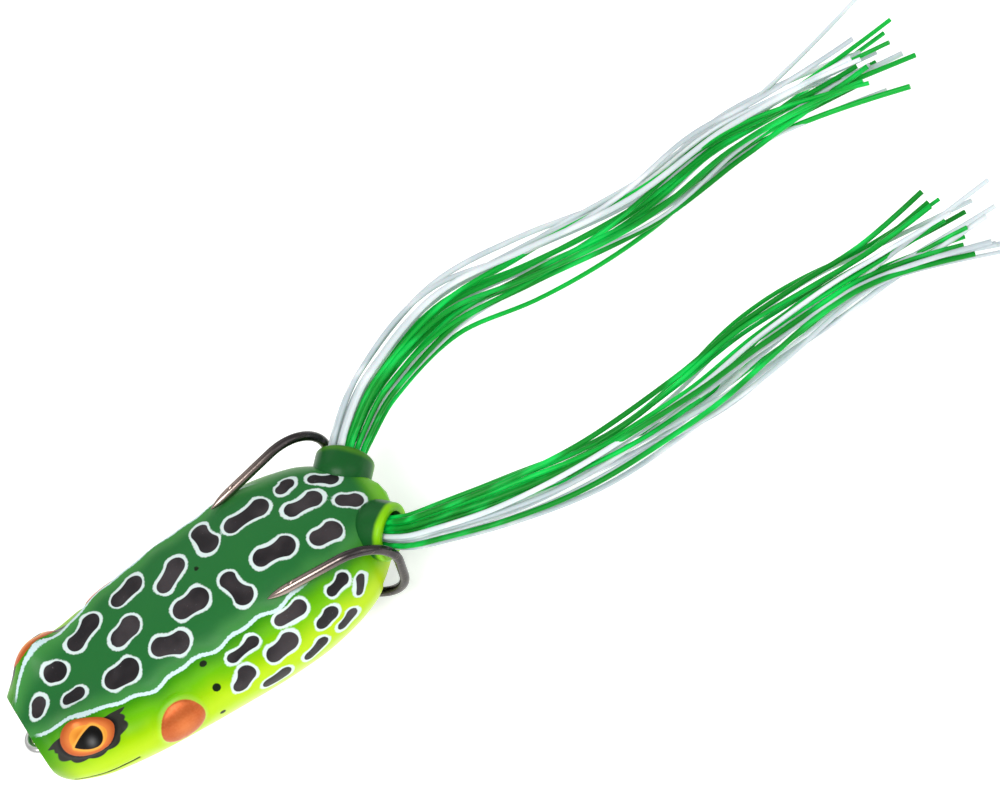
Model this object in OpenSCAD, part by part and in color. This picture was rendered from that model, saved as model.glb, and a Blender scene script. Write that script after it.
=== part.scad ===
// Hollow frog popper: a soft hollow body round a double hook, with two silicone skirt legs.
// X runs from the nose to the tail, Z is up, and the origin is the centre of the line tie.

/* [Body shell] */
// Length of the body, from the lip to the end of the rump
body_length = 64; // [60:1:70]
// Greatest width of the body
body_width = 29; // [28:0.5:31]
// Greatest height of the body, from the belly to the back
body_height = 22.6; // [21.5:0.1:24]
// Thickness of the soft wall
wall = 1.6; // [1.2:0.1:1.8]
// Place of the lip along X; the line tie stands out of the cup by the rest of its ring
lip_x = -0.9; // [-1.1:0.1:-0.6]
// Depth of the popping cup behind the lip
cup_depth = 3; // [2.5:0.1:3.2]
// Height of each brow bulge, which carries an eye
brow_bulge = 2.3; // [1:0.1:3]

/* [Leg sleeves] */
// Distance of each sleeve mouth behind the line tie
sleeve_x = 60.7; // [60.4:0.1:61]
// Distance of each sleeve mouth from the middle
sleeve_y = 7.6; // [7.2:0.1:7.8]
// Height of the sleeve mouths
sleeve_z = 6.6; // [5.8:0.1:6.8]
// Angle between each sleeve and the tail direction
splay = 50; // [46:1:54]
// Radius of the sleeve
sleeve_r = 4.5; // [4.2:0.1:4.6]
// Radius of the hole through the sleeve
sleeve_bore_r = 3.2; // [3.1:0.05:3.3]
// Length of the sleeve
sleeve_len = 5; // [4.5:0.1:5.2]
// Radius of the rounding round the sleeve mouth
lip_bead_r = 0.6; // [0.5:0.05:0.65]

/* [Hook] */
// Radius of the hook wire
wire_r = 0.75; // [0.6:0.05:0.75]
// Radius of the hole in the line tie
tie_hole_r = 1.25; // [1.2:0.01:1.3]
// Height of each point above the line tie
point_z = 12.2; // [12:0.1:12.8]
// Distance of each point from the middle
point_y = 9.6; // [9:0.1:10]

/* [Keel weight] */
// Radius of the weight
weight_r = 3.1; // [2.6:0.1:3.2]
// Length of the weight
weight_len = 13; // [10:0.5:14]
// Distance of the weight behind the line tie, along the shanks
weight_at = 25; // [20:1:26]

/* [Skirt legs] */
// Strands in each leg
strands = 22; // [12:2:22]
// Width of one square strand
strand_w = 0.55; // [0.4:0.05:0.6]
// Length of the longest strand outside its sleeve
leg_len = 106; // [98:1:108]
// Distance from the sleeve mouth to the middle flexing point
flex_at = 49.5; // [45:0.5:55]

/* [Hidden] */
$fn = 48;

fit_gap = 0.02;             // gap left between pieces that are bonded or pressed together
left = -1;                  // the left side is the -Y side
right = 1;

half_w = body_width / 2;
height_k = body_height / 22.6;
ring_points = 28;
body_rings = 32;
cavity_points = 16;
cavity_rings = 14;
cavity_first = 0.115;       // shares of the length between which the body is hollow
cavity_last = 0.955;
nose_hole_r = 3;
seal_bore_r = 1.7;
seal_len = 4.4;
seal_step = 0.3;            // distance of the seal behind the bottom of the cup
past = 1;                   // how far a cutting shape reaches past what it cuts

// Body sections: share of the length, half width as a share of the greatest, top, bottom
// and widest height above the line tie
body_profile = [
    [0.00, 0.55, 6.3, -4.9, 1.0],
    [0.06, 0.71, 7.5, -5.8, 1.3],
    [0.12, 0.82, 8.4, -6.6, 1.6],
    [0.23, 0.91, 9.8, -7.6, 2.0],
    [0.34, 0.95, 11.3, -8.3, 2.1],
    [0.46, 0.98, 12.4, -8.6, 2.0],
    [0.59, 1.00, 12.9, -8.7, 1.8],
    [0.72, 0.97, 13.6, -8.2, 1.8],
    [0.85, 0.82, 12.4, -6.3, 2.0],
    [0.92, 0.60, 10.8, -3.6, 2.8],
    [0.97, 0.36, 8.8, -0.4, 4.1],
    [1.00, 0.12, 6.4, 3.2, 4.8]
];
upper_power = 2.7;          // squareness of the back
lower_power = 2.2;          // squareness of the belly
brow = [5.4, 7.4, 7.9];     // middle of the brow bulge
brow_reach = 3.3;

// Opening under the rump: half of its outline, from its front end to past the rump
slot_side = [[46.7, 2.4], [50.7, 5.6], [55.7, 10.5], [68.7, 14]];
slot_top = 0.2;             // height of the top of the opening

// Hook path: corners of one arm on the +Y side, and the bend radius at each inner corner
shank_y = wire_r + 0.03;
shank_end = [46.7, shank_y, -3.8];
arm_low = [58.9, 11.7, -5.0];
arm_high = [60.0, 12.8, 14.6];
arm_point = [40.1, point_y, point_z];
kick_bend = 8;
low_bend = 7.4;
high_bend = 7.6;
point_len = 3.6;
tip_r = 0.2;
barb_back = 4.4;            // distance of the barb behind the tip
barb_r = 0.5;
barb_reach = 0.9;           // length of the barb's root along the wire
barb_top = [1.1, 0, 1.25];  // tip of the barb, from its middle
tie_r = tie_hole_r + 0.6;   // radius of the ring's wire line
shank_start = [tie_r - 0.2, shank_y, 0];
wire_sides = 12;
bend_step = 13;             // degrees of bend between two rings of the wire

// Weight
nose_len = 3;               // length of its tapered front
nose_cut = 1.4;             // how much narrower the front face is
tail_cut = 1;               // size of the rear chamfer

// Skirt legs
swing_at = 0.5;             // distance of the swing axis outside the sleeve mouth
root_depth = 4.4;           // depth of the strands' front ends inside the sleeve
bundle_r = 2.3;             // radius of the bundle inside its sleeve
drift = 8;                  // how far each leg runs outside its sleeve mouth
ease = 10.5;                // distance over which the leg turns towards the tail
turn = ease * (1 - cos(splay));
rise = 4.4;                 // how far the leg climbs, and the distance that this takes
rise_len = 17;
sag = 1.6;                  // how far it comes down again, from where, and over what distance
sag_at = 30;
sag_len = 40;
swell = 0.65;               // share by which the bundle grows behind its sleeve
fan = 2;                    // share by which it fans out at the tips
fan_power = 3.5;
uneven = 9;                 // how much shorter the shortest strand is
golden = 137.508;           // turn between a strand and the next in the bundle, in degrees
cut_turn = 71;              // degrees that shuffle the strands' lengths
white_below = -0.08;        // strands lower than this in the bundle are white
joint_gap = 1.5;            // half of the gap between the two runs of a leg
band_len = 2.4;
band_depth = 3.6;
band_bore_r = bundle_r + 0.45;

// ---- Curves -------------------------------------------------------------------------------

function mix(a, b, t) = a + (b - a) * t;
function smooth(t) = let (u = min(max(t, 0), 1)) u * u * (3 - 2 * u);
function unit(v) = v / norm(v);
function cell(table, x, i = 0) = i >= len(table) - 2 || x < table[i + 1][0] ? i : cell(table, x, i + 1);
function slope(table, i, c) =
    let (a = max(i - 1, 0), b = min(i + 1, len(table) - 1))
    (table[b][c] - table[a][c]) / (table[b][0] - table[a][0]);
// Value of column c of a table at x, on a smooth curve through the rows
function curve(table, x, c) =
    let (i = cell(table, x), d = table[i + 1][0] - table[i][0], t = (x - table[i][0]) / d)
    mix(table[i][c], table[i + 1][c], smooth(t))
    + d * t * (1 - t) * ((1 - t) * slope(table, i, c) - t * slope(table, i + 1, c));
function power(v, p) = sign(v) * pow(abs(v), 2 / p);

// ---- Lofted solids ------------------------------------------------------------------------

// A closed solid through rings of equal length, whose first and last rings are flat
module loft(rings) {
    n = len(rings[0]);
    count = len(rings);
    polyhedron(
        points = [for (ring = rings) for (p = ring) p],
        faces = concat(
            [for (i = [0 : count - 2]) for (k = [0 : n - 1])
                [i * n + k, (i + 1) * n + k, (i + 1) * n + (k + 1) % n]],
            [for (i = [0 : count - 2]) for (k = [0 : n - 1])
                [i * n + k, (i + 1) * n + (k + 1) % n, i * n + (k + 1) % n]],
            [[for (k = [0 : n - 1]) k]],
            [[for (k = [n - 1 : -1 : 0]) (count - 1) * n + k]]
        )
    );
}

// ---- Body shell ---------------------------------------------------------------------------

// One point of the body surface at share s of the length, moved inwards by depth
function body_point(s, a, depth = 0) =
    let (
        x = lip_x + s * body_length,
        w = half_w * curve(body_profile, s, 1) - depth,
        mid = curve(body_profile, s, 4) * height_k,
        top = curve(body_profile, s, 2) * height_k - depth - mid,
        low = mid - curve(body_profile, s, 3) * height_k - depth,
        y = w * power(cos(a), sin(a) < 0 ? lower_power : upper_power),
        z = sin(a) < 0 ? low * power(sin(a), lower_power) : top * power(sin(a), upper_power),
        away = norm([x - brow[0], abs(y) - brow[1], mid + z - brow[2]]) / brow_reach,
        lift = (depth > 0 ? 0 : brow_bulge) * exp(-away * away) / norm([y, z])
    )
    [x, y * (1 + lift), mid + z * (1 + lift)];
function body_ring(s, n, depth = 0) = [for (k = [0 : n - 1]) body_point(s, 360 * k / n, depth)];
function cup_ring(s) =
    [for (p = body_ring(0, ring_points)) [lip_x + cup_depth * (1 - s * s), p[1] * s, p[2] * s]];

module body_outside() {
    loft(concat(
        [for (s = [0.12, 0.4, 0.65, 0.85]) cup_ring(s)],
        [for (i = [0 : body_rings]) body_ring((1 - cos(180 * i / body_rings)) / 2, ring_points)]
    ));
}

module body_cavity() {
    loft([for (i = [0 : cavity_rings])
        body_ring(mix(cavity_first, cavity_last, i / cavity_rings), cavity_points, wall)]);
}

// Opening under the rump where the two hook arms leave the body
module hook_slot() {
    last = len(slot_side) - 1;
    translate([0, 0, slot_top - body_height])
        linear_extrude(body_height)
            polygon(concat(
                [for (p = slot_side) [p[0], -p[1]]],
                [for (i = [last : -1 : 0]) slot_side[i]]
            ));
}

module at_sleeve(side) {
    translate([sleeve_x, side * sleeve_y, sleeve_z])
        rotate([0, 90, side * splay]) children();
}

module sleeve(side) {
    at_sleeve(side) {
        translate([0, 0, -sleeve_len]) cylinder(r = sleeve_r, h = sleeve_len);
        rotate_extrude() translate([sleeve_r - lip_bead_r, 0]) circle(r = lip_bead_r);
    }
}

module sleeve_bore(side) {
    at_sleeve(side)
        translate([0, 0, -sleeve_len - past]) cylinder(r = sleeve_bore_r, h = sleeve_len + 3 * past);
}

module body_shell() {
    color("limegreen")
        difference() {
            union() {
                difference() {
                    body_outside();
                    body_cavity();
                    hook_slot();
                    translate([lip_x + cup_depth - past, 0, 0])
                        rotate([0, 90, 0]) cylinder(r = nose_hole_r, h = 2 * seal_len);
                }
                sleeve(left);
                sleeve(right);
            }
            sleeve_bore(left);
            sleeve_bore(right);
        }
}

// Soft plug that bonds the nose of the shell to the shank
module nose_seal() {
    color("dimgray")
        translate([lip_x + cup_depth + seal_step, 0, 0])
            rotate([0, 90, 0])
                difference() {
                    cylinder(r = nose_hole_r - fit_gap, h = seal_len);
                    translate([0, 0, -past]) cylinder(r = seal_bore_r, h = seal_len + 2 * past);
                }
}

// ---- Hook and weight ----------------------------------------------------------------------

function tangent(a, b, c, bend) = bend * tan(acos(unit(b - a) * unit(c - b)) / 2);

// Points round corner b of the wire, between the straight runs a-b and b-c
function wire_bend(a, b, c, bend) =
    let (
        u = unit(b - a),
        v = unit(c - b),
        angle = acos(u * v),
        out = -unit(v - u * cos(angle)),
        hub = b - u * tangent(a, b, c, bend) - out * bend,
        steps = ceil(angle / bend_step)
    )
    [for (i = [0 : steps]) let (t = angle * i / steps) hub + bend * (out * cos(t) + u * sin(t))];

function wire_ring(path, i, r) =
    let (
        along = unit(path[min(i + 1, len(path) - 1)] - path[max(i - 1, 0)]),
        side = unit(cross(along, [0, 1, 0])),
        up = cross(side, along)
    )
    [for (k = [0 : wire_sides - 1])
        path[i] + r * (side * cos(360 * k / wire_sides) - up * sin(360 * k / wire_sides))];

module spike(base, tip, r) {
    d = tip - base;
    translate(base)
        rotate([0, acos(d[2] / norm(d)), atan2(d[1], d[0])])
            cylinder(r1 = r, r2 = r / 8, h = norm(d), $fn = 24);
}

module hook_arm() {
    aim = unit(arm_point - arm_high);
    barb = arm_point - aim * barb_back;
    path = concat(
        [shank_start],
        wire_bend(shank_start, shank_end, arm_low, kick_bend),
        wire_bend(shank_end, arm_low, arm_high, low_bend),
        wire_bend(arm_low, arm_high, arm_point, high_bend),
        [arm_point - aim * point_len, arm_point]
    );
    last = len(path) - 1;
    loft([for (i = [0 : last]) wire_ring(path, i, i == last ? tip_r : wire_r)]);
    spike(barb + aim * barb_reach, barb + barb_top, barb_r);
}

module double_hook() {
    color("#2b2b30")
        difference() {
            union() {
                rotate_extrude() translate([tie_r, 0]) circle(r = wire_r);
                hook_arm();
                mirror([0, 1, 0]) hook_arm();
            }
            cylinder(r = tie_hole_r, h = 4 * wire_r, center = true);
        }
}

// Bullet weight moulded round the pair of shanks
module keel_weight() {
    slope_down = atan2(-shank_end[2], shank_end[0] - shank_start[0]);
    hole_len = weight_len + 2 * past;
    color("darkgray")
        translate([shank_start[0], 0, 0])
            rotate([0, 90 + slope_down, 0])
                translate([0, 0, weight_at])
                    difference() {
                        rotate_extrude()
                            polygon([[0, 0], [weight_r - nose_cut, 0], [weight_r, nose_len],
                                     [weight_r, weight_len - tail_cut],
                                     [weight_r - tail_cut, weight_len], [0, weight_len]]);
                        for (side = [left, right])
                            translate([0, side * shank_y, -past])
                                cylinder(r = wire_r + fit_gap, h = hole_len);
                        translate([0, 0, weight_len / 2])
                            cube([wire_r, 2 * shank_y, hole_len], center = true);
                    }
}

// ---- Skirt legs ---------------------------------------------------------------------------

// Middle line of a leg at distance s outside the sleeve mouth; inside it the line is straight
function leg_fade(s) = 1 - exp(-max(s, 0) / ease);
function leg_middle(s) = [
    sleeve_x + s - turn * leg_fade(s) - (s < 0 ? s * (1 - cos(splay)) : 0),
    sleeve_y + drift * leg_fade(s) + (s < 0 ? s * sin(splay) : 0),
    sleeve_z + rise * smooth(s / rise_len) - sag * smooth((s - sag_at) / sag_len)
];
function leg_heading(s) = s < 0 ? splay : splay * exp(-s / ease);
function spread(s) = 1 + swell * smooth(s / sag_at) + fan * pow(max(s, 0) / leg_len, fan_power);

// Place of strand k in the bundle, in rings that fill it evenly
function strand_place(k) =
    bundle_r * sqrt((k + 0.5) / strands) * [cos(k * golden), sin(k * golden)];
function is_white(k) = sin(k * golden) < white_below;
function strand_end(k) = leg_len - uneven * abs(sin(k * cut_turn));

function strand_ring(k, s) =
    let (
        h = leg_heading(s),
        side = [-sin(h), cos(h), 0],
        p = strand_place(k) * spread(s),
        c = leg_middle(s) + side * p[0] + [0, 0, p[1]],
        e = strand_w / 2
    )
    [c - side * e - [0, 0, e], c + side * e - [0, 0, e],
     c + side * e + [0, 0, e], c - side * e + [0, 0, e]];

module strand_group(side, white, stops) {
    mirror([0, side == left ? 1 : 0, 0])
        for (k = [0 : strands - 1])
            if (is_white(k) == white)
                loft([for (s = stops) strand_ring(k, min(s, strand_end(k)))]);
}

module band(side) {
    color("black")
        at_sleeve(side)
            translate([0, 0, -band_depth])
                difference() {
                    cylinder(r = sleeve_bore_r - fit_gap, h = band_len);
                    translate([0, 0, -past]) cylinder(r = band_bore_r, h = band_len + 2 * past);
                }
}

module roots(side, white) {
    strand_group(side, white, [-root_depth, -0.3]);
}

module inner_run(side, white) {
    strand_group(side, white, [swing_at + joint_gap / 2, 4.5, 8.5, 14, 24, 36, flex_at - joint_gap]);
}

module outer_run(side, white) {
    strand_group(side, white, [flex_at + joint_gap, 64, 78, 88, leg_len]);
}

module left_skirt_band() { band(left); }
module right_skirt_band() { band(right); }
module left_green_roots() { color("limegreen") roots(left, false); }
module left_white_roots() { color("white") roots(left, true); }
module right_green_roots() { color("limegreen") roots(right, false); }
module right_white_roots() { color("white") roots(right, true); }
module left_green_inner() { color("limegreen") inner_run(left, false); }
module left_white_inner() { color("white") inner_run(left, true); }
module right_green_inner() { color("limegreen") inner_run(right, false); }
module right_white_inner() { color("white") inner_run(right, true); }
module left_green_outer() { color("limegreen") outer_run(left, false); }
module left_white_outer() { color("white") outer_run(left, true); }
module right_green_outer() { color("limegreen") outer_run(right, false); }
module right_white_outer() { color("white") outer_run(right, true); }

body_shell();
nose_seal();
double_hook();
keel_weight();
left_skirt_band();
right_skirt_band();
left_green_roots();
left_white_roots();
right_green_roots();
right_white_roots();
left_green_inner();
left_white_inner();
right_green_inner();
right_white_inner();
left_green_outer();
left_white_outer();
right_green_outer();
right_white_outer();
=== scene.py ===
import math
import random

import bpy
import numpy as np
from mathutils import Matrix, Vector


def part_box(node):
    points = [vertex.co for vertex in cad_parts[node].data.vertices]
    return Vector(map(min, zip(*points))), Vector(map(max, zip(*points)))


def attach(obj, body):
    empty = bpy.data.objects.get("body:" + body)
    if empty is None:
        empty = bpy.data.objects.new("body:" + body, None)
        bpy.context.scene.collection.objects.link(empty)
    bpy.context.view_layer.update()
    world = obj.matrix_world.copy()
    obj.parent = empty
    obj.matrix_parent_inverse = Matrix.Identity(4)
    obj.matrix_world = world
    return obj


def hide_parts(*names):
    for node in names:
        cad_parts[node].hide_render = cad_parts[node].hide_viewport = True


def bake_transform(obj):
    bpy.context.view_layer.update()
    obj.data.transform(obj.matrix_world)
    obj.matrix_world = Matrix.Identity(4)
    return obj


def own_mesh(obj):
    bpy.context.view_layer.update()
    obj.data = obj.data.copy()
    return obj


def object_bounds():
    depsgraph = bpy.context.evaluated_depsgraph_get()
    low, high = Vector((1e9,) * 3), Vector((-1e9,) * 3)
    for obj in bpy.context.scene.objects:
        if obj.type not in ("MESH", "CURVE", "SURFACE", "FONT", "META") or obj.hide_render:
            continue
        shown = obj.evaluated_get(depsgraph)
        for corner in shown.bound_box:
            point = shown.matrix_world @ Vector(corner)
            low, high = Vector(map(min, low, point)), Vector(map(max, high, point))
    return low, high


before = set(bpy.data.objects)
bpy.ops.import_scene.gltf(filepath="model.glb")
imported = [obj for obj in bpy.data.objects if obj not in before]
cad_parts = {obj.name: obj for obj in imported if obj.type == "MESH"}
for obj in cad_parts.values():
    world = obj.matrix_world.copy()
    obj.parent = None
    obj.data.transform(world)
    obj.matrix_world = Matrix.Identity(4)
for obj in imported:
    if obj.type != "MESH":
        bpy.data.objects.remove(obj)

CAD_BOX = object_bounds()
MM = 0.001

# ---- Body, in millimetres: X from nose to tail, Z up, origin at the line tie ----
LIP_X = (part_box("body_shell")[0] / MM).x
BODY_LENGTH = 64.0
HALF_WIDTH = 14.5
WALL = 1.5
CUP_DEPTH = 3.0
LIP_ROUND = 2.6
UPPER_POWER, LOWER_POWER = 2.7, 2.2
NOSE_HOLE = 3.0

# Share of the length, half width share, top, bottom and height of the widest point
HALF, TOP, BOTTOM, MIDDLE = 1, 2, 3, 4
BODY_PROFILE = np.array([
    (0.00, 0.55, 6.3, -4.9, 1.0),
    (0.06, 0.71, 7.5, -5.8, 1.3),
    (0.12, 0.82, 8.4, -6.6, 1.6),
    (0.23, 0.91, 9.8, -7.6, 2.0),
    (0.34, 0.95, 11.3, -8.3, 2.1),
    (0.46, 0.98, 12.4, -8.6, 2.0),
    (0.59, 1.00, 12.9, -8.7, 1.8),
    (0.72, 0.97, 13.6, -8.2, 1.8),
    (0.85, 0.82, 12.4, -6.3, 2.0),
    (0.92, 0.60, 10.8, -3.6, 2.8),
    (0.97, 0.36, 8.8, -0.4, 4.1),
    (1.00, 0.12, 6.4, 3.2, 4.8),
])
# Brow over each eye: place, reach, stretch along the body, shifts outwards and up, fade at the lip
BROW, BROW_REACH, BROW_STRETCH = (5.5, 6.9, 7.6), 3.2, 1.5
BROW_OUT, BROW_UP, BROW_FADE = 0.5, 2.6, 2.6
# Rounds that it takes to find where a point of the brow was before its shift
BROW_STEPS = 8
# Crease along each flank: depth, distance below the ridge line, reach
CREASE, CREASE_AT, CREASE_REACH = 1.2, 3.7, 2.3
# Places where the crease starts, is full, weakens and ends
CREASE_X = (8.0, 12.0, 36.0, 46.0)
# Shares of the length between which the shell is hollow
CAVITY_FIRST, CAVITY_LAST = 0.115, 0.955
CUP_BACK = 0.2
# How far the rump's tip stands behind its last ring, outside and inside
TIP_OUT, TIP_IN = 0.35, 0.3
# Points round a ring of the skin, and its rings on the outside, in the cup and on the inner wall
AROUND, SKIN_ROWS, CUP_ROWS, WALL_ROWS = 260, 250, 16, 40

# Half spacing of the two ridge lines along the back: x, half spacing
RIDGE = np.array([
    (-0.9, 3.2), (0, 3.7), (1.3, 4.6), (2.7, 5.3), (4.3, 5.9), (6.5, 6.3), (8.5, 6.9), (13.4, 8.6),
    (20.1, 10.0), (26.5, 10.4), (33.1, 10.7), (36.7, 10.8), (45.7, 10.4), (54.7, 8.5), (63.1, 4.0),
])
# Where the line and its raised welt fade out, and the welt's height and reach
RIDGE_FADE = (42.7, 48.7)
WELT, WELT_REACH = 0.26, 0.75

# Eyes and ear drums: x, distance below the ridge line, then their sizes
EYE_X, EYE_DROP, EYE_TILT = 6.65, 3.05, 22.0
EYE_HALF = (4.4, 2.45)
EYE_LIFT, EYE_FOOT, EYE_FOOT_REACH = 0.55, 0.28, 0.25
# Rim under the eye: its ends and their fade, and the place, length and half angle of its spikes
RIM_FROM, RIM_TO, RIM_FADE = -40, 178, 10
RIM_SPIKES = [(-36, 0.72, 8), (183, 0.6, 13)]
PUPIL_X, PUPIL_LENGTH, PUPIL_DROOP, PUPIL_R = 0.7, 3.2, 0.75, 1.45
GLINT_AT, GLINT_SPREAD = (0.3, 0.55), 0.4
DRUM_X, DRUM_DROP, DRUM_R = 19.5, 8.0, 3.8
DRUM_LIFT = 0.75
# Moat round the ear drum: depth, then place and reach as shares of the drum's radius
MOAT, MOAT_AT, MOAT_REACH = 0.22, 1.18, 0.14

# Sleeves for the legs: the middle of the left one's mouth, mirrored for the right one, and its
# turn from the body's length
SLEEVE_AT = (60.7, 7.6, 6.6)
SPLAY = 50.0
SLEEVE_R, SLEEVE_BORE, LIP_BEAD = 4.5, 3.2, 0.6
RING_SIDES = 72
# How far each sleeve's lip is lime, for the left and the right leg
LIP_LIME = {-1: 1.0, 1: 0.2}

# Spots on the back: x, offset to the left, tilt to the left, length, width, waist
BACK_SPOTS = [
    (2.5, 0.2, -50, 3.4, 2.4, 0.0),
    (7.9, 2.9, 10, 3.9, 2.3, 0.0),
    (7.4, -2.5, 14, 3.8, 2.9, 0.0),
    (15.7, 5.1, 8, 6.0, 3.6, 0.05),
    (14.1, -5.2, -23, 6.7, 3.3, 0.2),
    (19.5, -0.3, -11, 5.5, 3.5, 0.08),
    (24.2, 6.3, 26, 6.3, 3.4, 0.14),
    (22.8, -6.2, -11, 6.0, 3.2, 0.12),
    (29.7, -3.4, -32, 6.3, 3.0, 0.08),
    (30, 2.9, 0, 6.2, 3.7, 0.1),
    (37, -5.8, 84, 6.2, 3.2, 0.16),
    (37.1, 5, 78, 6.6, 3.1, 0.28),
    (43.9, -4.4, 0, 7.8, 3.3, 0.26),
    (44.6, 3.8, 7, 7.0, 3.4, 0.24),
    (51.1, -5.7, -30, 3.4, 2.3, 0.1),
    (52, -1, -3, 6.2, 2.9, 0.26),
    (56.5, -4, 30, 4.6, 2.2, 0.25),
    (58.1, 1.5, 22, 4.0, 2.5, 0.1),
    (52.5, 5.4, -5, 5.2, 3.0, 0.1),
]
# Spots on each flank: x, distance below the ridge line, tilt downwards, length, width, waist
FLANK_SPOTS = [
    (32.9, 3, -10, 5.8, 2.3, 0.28),
    (41.7, 2.3, 0, 5.6, 2.5, 0.1),
    (49.9, 3.1, -14, 4.2, 2.1, 0.2),
    (52.7, 5.8, -60, 3.8, 1.4, 0.0),
    (30.6, 7.4, -38, 4.8, 2.8, 0.1),
    (37.9, 6.3, -8, 5.7, 3.0, 0.12),
    (45.9, 6.8, -18, 4.2, 2.7, 0.1),
    (48.3, 10, -24, 4.2, 2.0, 0.1),
    (34.8, 11.2, -2, 5.0, 2.3, 0.0),
    (42, 11, -18, 4.8, 2.2, 0.1),
]
SPOT_BOW, SPOT_TAPER = 0.07, 0.08
FAR_OFF = 9.0
# Black dots: x, offset or distance below the ridge line, radius
BACK_DOTS = [(33.6, -1.7, 0.42)]
FLANK_DOTS = [(26.9, 1.2, 0.6), (26.6, 5.9, 0.66), (25.3, 11.4, 0.5)]
MOUTH_X, MOUTH_Z = (1.2, 11.3), (-1.1, 0.0)
MOUTH_DEPTH, MOUTH_REACH = 0.3, 0.28

# Opening under the rump for the hook arms: x and half width, then its foot and roof
SLOT = [(46.7, 2.4), (50.7, 5.6), (55.7, 10.5), (68.7, 14)]
SLOT_Z = (-20, 0.2)

# ---- Hook ----
WIRE_R = 0.75
TIE_HOLE = 1.25
TIE_R = TIE_HOLE + 0.6
TIE_ROWS = 28
SHANK_Y = WIRE_R + 0.03
HOOK_CORNERS = [(TIE_R - 0.2, SHANK_Y, 0.0), (46.7, SHANK_Y, -3.8), (58.1, 11.5, -5.0),
                (60.7, 12.8, 14.3), (40.1, 9.6, 12.2)]
HOOK_BENDS = [8.0, 7.2, 6.9]
POINT_LENGTH = 3.6
# Share of the point's length, share of the wire's radius
POINT_TAPER = [(0.0, 1.0), (0.25, 0.93), (0.5, 0.78), (0.7, 0.58), (0.85, 0.36), (0.95, 0.18), (1.0, 0.07)]
# Distance towards the point, rise and radius, from a place this far behind the point
BARB_BACK = 4.4
BARB = [(1.1, 0.0, 0.5), (0.35, 0.62, 0.34), (-0.55, 1.2, 0.04)]
BARB_FLATNESS = 0.8
WIRE_SIDES, BARB_SIDES, BEND_STEP = 24, 12, 4.0

# ---- Legs ----
# Left and right are -1 and 1
SIDE_NAMES = {-1: "left", 1: "right"}
STRANDS = 22
STRAND_WIDTH, STRAND_FLATNESS, STRAND_SIDES = 0.8, 0.82, 8
LEG_LENGTH = {-1: 106.0, 1: 108.5}
SEEDS = {-1: 7, 1: 19}
BUNDLE_R = 2.3
ROOT_DEPTH = 4.4
EASE = 10.5
SPLIT_AT = 26.0
ROOT_STEP, END_STEP = 1.3, 1.5
# Each strand is cut short by up to this length, on a turn of this many degrees a strand
STAGGER, STAGGER_TURN = 9, 71
# Places along the legs: two at the root, and one further out with a reach on either side
ROOT_BLEND = (-1.0, 14.0)
FLEX_AT, FLEX_BLEND = 49.5, 15

# Course of each leg: distance outside the sleeve mouth, outward shift and rise
LEG_COURSE = {
    -1: np.array([(0, 0, 0.2), (4, 2.6, 1.2), (9, 4.6, 2.0), (20, 8.3, 3.0), (36, 10.8, 2.0),
                  (52, 10.6, 1.5), (65, 9.0, 1.6), (81, 8.8, 2.2), (112, 9.0, 0.8)], float),
    1: np.array([(0, 0, 0), (4, 2.4, 0.8), (13, 6.2, 3.4), (28, 10.0, 4.6), (42, 9.2, 3.4),
                 (61, 8.0, 2.6), (78, 9.4, 2.6), (112, 7.4, 0.8)], float),
}

# Thickness of each leg along its length, as a share of the bundle inside the sleeve
LEG_SPREAD = {
    -1: np.array([(-5, 1), (-1.5, 1), (0.5, 1.14), (8, 1.4), (25, 1.8), (45, 1.75), (64, 2.1),
                  (76, 1.9), (87, 1.5), (110, 1.8)]),
    1: np.array([(-5, 1), (-1.5, 1), (0.5, 1.14), (8, 1.45), (25, 1.85), (45, 1.95), (60, 1.8),
                 (76, 1.6), (86, 1.5), (110, 1.8)]),
}
FAN_AT, FAN = 80.0, 8.0
# Stretches of a leg over which waves grow, waves calm down and strands wander round it: from, length
WAVES_GROW, WAVES_CALM, WANDERING = (6, 40), (70, 16), (12, 70)
WANDER = 0.75
# Each strand's own waves: size, radians a millimetre, and how much faster every second one is
WAVE_SIZE, WAVE_RATE, WAVE_FASTER = (0.25, 0.95), (0.045, 0.085), 1.7
ANY_ANGLE = (0, 6.28)
# Colours across each leg, from its uppermost strand as the camera sees it, and how far outwards
# and upwards count in that view
VIEW_OUT, VIEW_UP = 0.82, 0.57
TONES = {-1: "GGGGGGGGGWGGWWWWWWWWGW", 1: "WWWWWWWGGGGGGWGGGWGGWG"}
GOLDEN = math.radians(137.508)


# ---- Numbers ----

def smooth(t):
    """0 up to 0 and 1 from 1 on, with an even slope between."""
    t = np.clip(t, 0.0, 1.0)
    return t * t * (3 - 2 * t)


def ramp(s, start, length):
    return float(smooth((s - start) / length))


def curve(table, x, column=1):
    """Value of a column of table at x, on a smooth curve through its rows."""
    x = np.asarray(x, float)
    xs, ys = table[:, 0], table[:, column]
    i = np.clip(np.searchsorted(xs, x, side="right") - 1, 0, len(xs) - 2)
    slopes = np.empty(len(xs))
    slopes[1:-1] = (ys[2:] - ys[:-2]) / (xs[2:] - xs[:-2])
    slopes[0] = (ys[1] - ys[0]) / (xs[1] - xs[0])
    slopes[-1] = (ys[-1] - ys[-2]) / (xs[-1] - xs[-2])
    d = xs[i + 1] - xs[i]
    t = (x - xs[i]) / d
    base = ys[i] + (ys[i + 1] - ys[i]) * smooth(t)
    return base + d * t * (1 - t) * ((1 - t) * slopes[i] - t * slopes[i + 1])


def signed_power(v, p):
    """Turns a sine or cosine into that of a rounded box of power p."""
    return np.sign(v) * np.abs(v) ** (2 / p)


# ---- Body surface ----

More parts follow.
